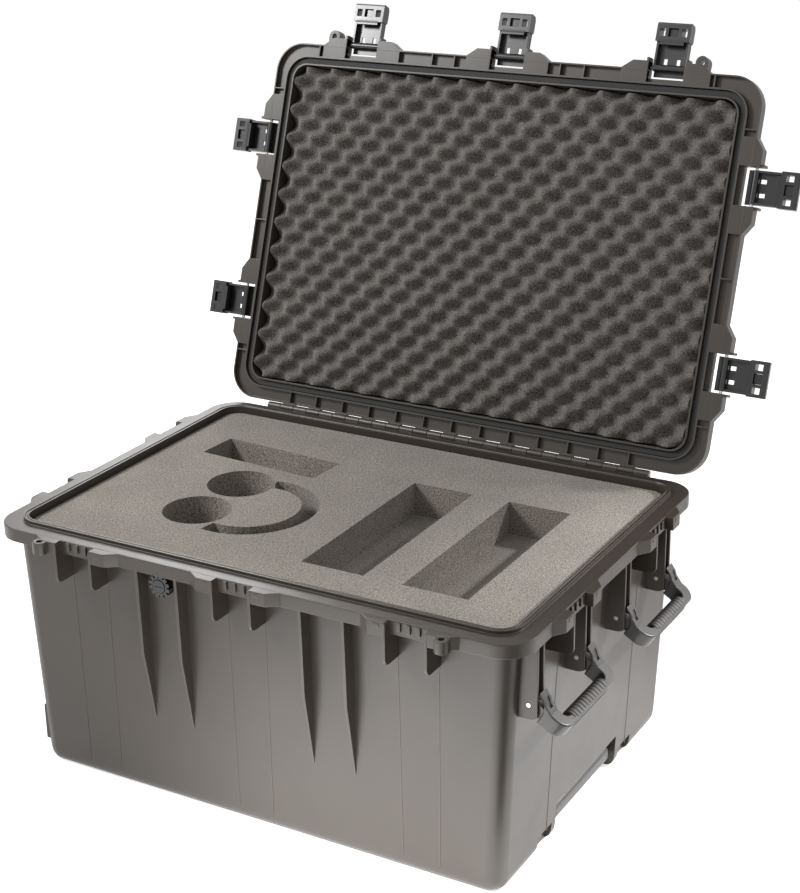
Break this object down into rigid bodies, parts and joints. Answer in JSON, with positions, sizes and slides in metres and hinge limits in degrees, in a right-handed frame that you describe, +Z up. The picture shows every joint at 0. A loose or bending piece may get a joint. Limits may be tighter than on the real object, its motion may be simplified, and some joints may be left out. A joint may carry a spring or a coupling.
{
  "type": "transport case",
  "caption": "Large moulded transport case standing open, with foam-lined tub and lid, draw latches, folding carry handles, sliding pull handle and corner wheels.",
  "frame": {"origin": "centre of the tub's underside, on the floor plane", "axes": "+X along the case towards the pull handle, +Y from the latch front to the hinge, +Z up"},
  "size_m": [0.9632, 0.8514, 0.9913],
  "materials": {
    "shell_plastic": "fine moulded texture, satin",
    "latch_plastic": "glossy near-black moulding",
    "button_plastic": "satin dark grey moulding",
    "handle_plastic": "satin dark grey moulding",
    "soft_grip": "matte soft moulding",
    "gasket_rubber": "matte black sponge rubber",
    "steel": "bright drawn rod",
    "tube_metal": "satin drawn tube",
    "wheel_rubber": "matte grey-brown rubber",
    "base_foam": "open-cell grey foam, speckled",
    "lid_foam": "convoluted charcoal foam"
  },
  "bodies": {
    "base": {"base_shell": "shell_plastic", "foam_bottom_pad": "base_foam", "foam_middle_block": "base_foam", "foam_top_layer": "base_foam", "hinge_rod": "steel", "valve_housing": "latch_plastic", "valve_vent_cap": "button_plastic", "tube_sleeve_front": "latch_plastic", "tube_sleeve_back": "latch_plastic", "wheel_axle_front": "steel", "wheel_axle_back": "steel", "handle_pin_left_back_a": "steel", "handle_pin_left_back_b": "steel", "handle_pin_left_front_a": "steel", "handle_pin_left_front_b": "steel", "handle_pin_right_back_a": "steel", "handle_pin_right_back_b": "steel", "handle_pin_right_front_a": "steel", "handle_pin_right_front_b": "steel"},
    "lid": {"lid_shell": "shell_plastic", "lid_gasket": "gasket_rubber", "lid_foam": "lid_foam", "latch_pin_front_left": "steel", "latch_pin_front_middle": "steel", "latch_pin_front_right": "steel", "latch_pin_left_back": "steel", "latch_pin_left_front": "steel", "latch_pin_right_back": "steel", "latch_pin_right_front": "steel"},
    "latch_front_left": {"latch_body_front_left": "latch_plastic"},
    "button_front_left": {"latch_button_front_left": "button_plastic"},
    "latch_front_middle": {"latch_body_front_middle": "latch_plastic"},
    "button_front_middle": {"latch_button_front_middle": "button_plastic"},
    "latch_front_right": {"latch_body_front_right": "latch_plastic"},
    "button_front_right": {"latch_button_front_right": "button_plastic"},
    "latch_left_back": {"latch_body_left_back": "latch_plastic"},
    "button_left_back": {"latch_button_left_back": "button_plastic"},
    "latch_left_front": {"latch_body_left_front": "latch_plastic"},
    "button_left_front": {"latch_button_left_front": "button_plastic"},
    "latch_right_back": {"latch_body_right_back": "latch_plastic"},
    "button_right_back": {"latch_button_right_back": "button_plastic"},
    "latch_right_front": {"latch_body_right_front": "latch_plastic"},
    "button_right_front": {"latch_button_right_front": "button_plastic"},
    "handle_left_back": {"carry_handle_left_back": "handle_plastic", "handle_grip_left_back": "soft_grip"},
    "handle_left_front": {"carry_handle_left_front": "handle_plastic", "handle_grip_left_front": "soft_grip"},
    "handle_right_back": {"carry_handle_right_back": "handle_plastic", "handle_grip_right_back": "soft_grip"},
    "handle_right_front": {"carry_handle_right_front": "handle_plastic", "handle_grip_right_front": "soft_grip"},
    "pull_handle": {"pull_handle_bar": "handle_plastic", "pull_tube_front": "tube_metal", "pull_tube_back": "tube_metal"},
    "wheel_front": {"wheel_tyre_front": "wheel_rubber", "wheel_hub_front": "latch_plastic"},
    "wheel_back": {"wheel_tyre_back": "wheel_rubber", "wheel_hub_back": "latch_plastic"}
  },
  "joints": [
    {"name": "lid_hinge", "type": "hinge", "parent": "base", "child": "lid", "pos_m": [0, 0.2965, 0.37525], "axis": [1, 0, 0], "range_deg": [0, 109.4]},
    {"name": "latch_front_left_pivot", "type": "hinge", "parent": "lid", "child": "latch_front_left", "pos_m": [-0.258, 0.50514, 0.92782], "axis": [1, 0, 0], "range_deg": [0, 92]},
    {"name": "button_front_left_press", "type": "slide", "parent": "latch_front_left", "child": "button_front_left", "axis": [0, -0.9311, 0.3649], "range_m": [0, 0.002], "stiffness_N_per_m": 500},
    {"name": "latch_front_middle_pivot", "type": "hinge", "parent": "lid", "child": "latch_front_middle", "pos_m": [0, 0.50514, 0.92782], "axis": [1, 0, 0], "range_deg": [0, 92]},
    {"name": "button_front_middle_press", "type": "slide", "parent": "latch_front_middle", "child": "button_front_middle", "axis": [0, -0.9311, 0.3649], "range_m": [0, 0.002], "stiffness_N_per_m": 500},
    {"name": "latch_front_right_pivot", "type": "hinge", "parent": "lid", "child": "latch_front_right", "pos_m": [0.258, 0.50514, 0.92782], "axis": [1, 0, 0], "range_deg": [0, 92]},
    {"name": "button_front_right_press", "type": "slide", "parent": "latch_front_right", "child": "button_front_right", "axis": [0, -0.9311, 0.3649], "range_m": [0, 0.002], "stiffness_N_per_m": 500},
    {"name": "latch_left_back_pivot", "type": "hinge", "parent": "lid", "child": "latch_left_back", "pos_m": [-0.415, 0.36264, 0.52318], "axis": [0, 0.3322, 0.9432], "range_deg": [0, 92]},
    {"name": "button_left_back_press", "type": "slide", "parent": "latch_left_back", "child": "button_left_back", "axis": [-0.0349, -0.9426, 0.332], "range_m": [0, 0.002], "stiffness_N_per_m": 500},
    {"name": "latch_left_front_pivot", "type": "hinge", "parent": "lid", "child": "latch_left_front", "pos_m": [-0.415, 0.45232, 0.77785], "axis": [0, 0.3322, 0.9432], "range_deg": [0, 92]},
    {"name": "button_left_front_press", "type": "slide", "parent": "latch_left_front", "child": "button_left_front", "axis": [-0.0349, -0.9426, 0.332], "range_m": [0, 0.002], "stiffness_N_per_m": 500},
    {"name": "latch_right_back_pivot", "type": "hinge", "parent": "lid", "child": "latch_right_back", "pos_m": [0.415, 0.36264, 0.52318], "axis": [0, -0.3322, -0.9432], "range_deg": [0, 92]},
    {"name": "button_right_back_press", "type": "slide", "parent": "latch_right_back", "child": "button_right_back", "axis": [0.0349, -0.9426, 0.332], "range_m": [0, 0.002], "stiffness_N_per_m": 500},
    {"name": "latch_right_front_pivot", "type": "hinge", "parent": "lid", "child": "latch_right_front", "pos_m": [0.415, 0.45232, 0.77785], "axis": [0, -0.3322, -0.9432], "range_deg": [0, 92]},
    {"name": "button_right_front_press", "type": "slide", "parent": "latch_right_front", "child": "button_right_front", "axis": [0.0349, -0.9426, 0.332], "range_m": [0, 0.002], "stiffness_N_per_m": 500},
    {"name": "handle_left_back_fold", "type": "hinge", "parent": "base", "child": "handle_left_back", "pos_m": [-0.398, 0.1612, 0.2755], "axis": [0, 1, 0], "range_deg": [0, 59]},
    {"name": "handle_left_front_fold", "type": "hinge", "parent": "base", "child": "handle_left_front", "pos_m": [-0.398, -0.1088, 0.2755], "axis": [0, 1, 0], "range_deg": [0, 59]},
    {"name": "handle_right_back_fold", "type": "hinge", "parent": "base", "child": "handle_right_back", "pos_m": [0.398, 0.1088, 0.2755], "axis": [0, -1, 0], "range_deg": [-56, 3]},
    {"name": "handle_right_front_fold", "type": "hinge", "parent": "base", "child": "handle_right_front", "pos_m": [0.398, -0.1612, 0.2755], "axis": [0, -1, 0], "range_deg": [-56, 3]},
    {"name": "pull_handle_slide", "type": "slide", "parent": "base", "child": "pull_handle", "axis": [1, 0, 0], "range_m": [0, 0.38]},
    {"name": "wheel_front_spin", "type": "hinge", "parent": "base", "child": "wheel_front", "pos_m": [-0.35686, -0.232, 0.0445], "axis": [0, 1, 0], "continuous": true},
    {"name": "wheel_back_spin", "type": "hinge", "parent": "base", "child": "wheel_back", "pos_m": [-0.35686, 0.232, 0.0445], "axis": [0, 1, 0], "continuous": true}
  ]
}
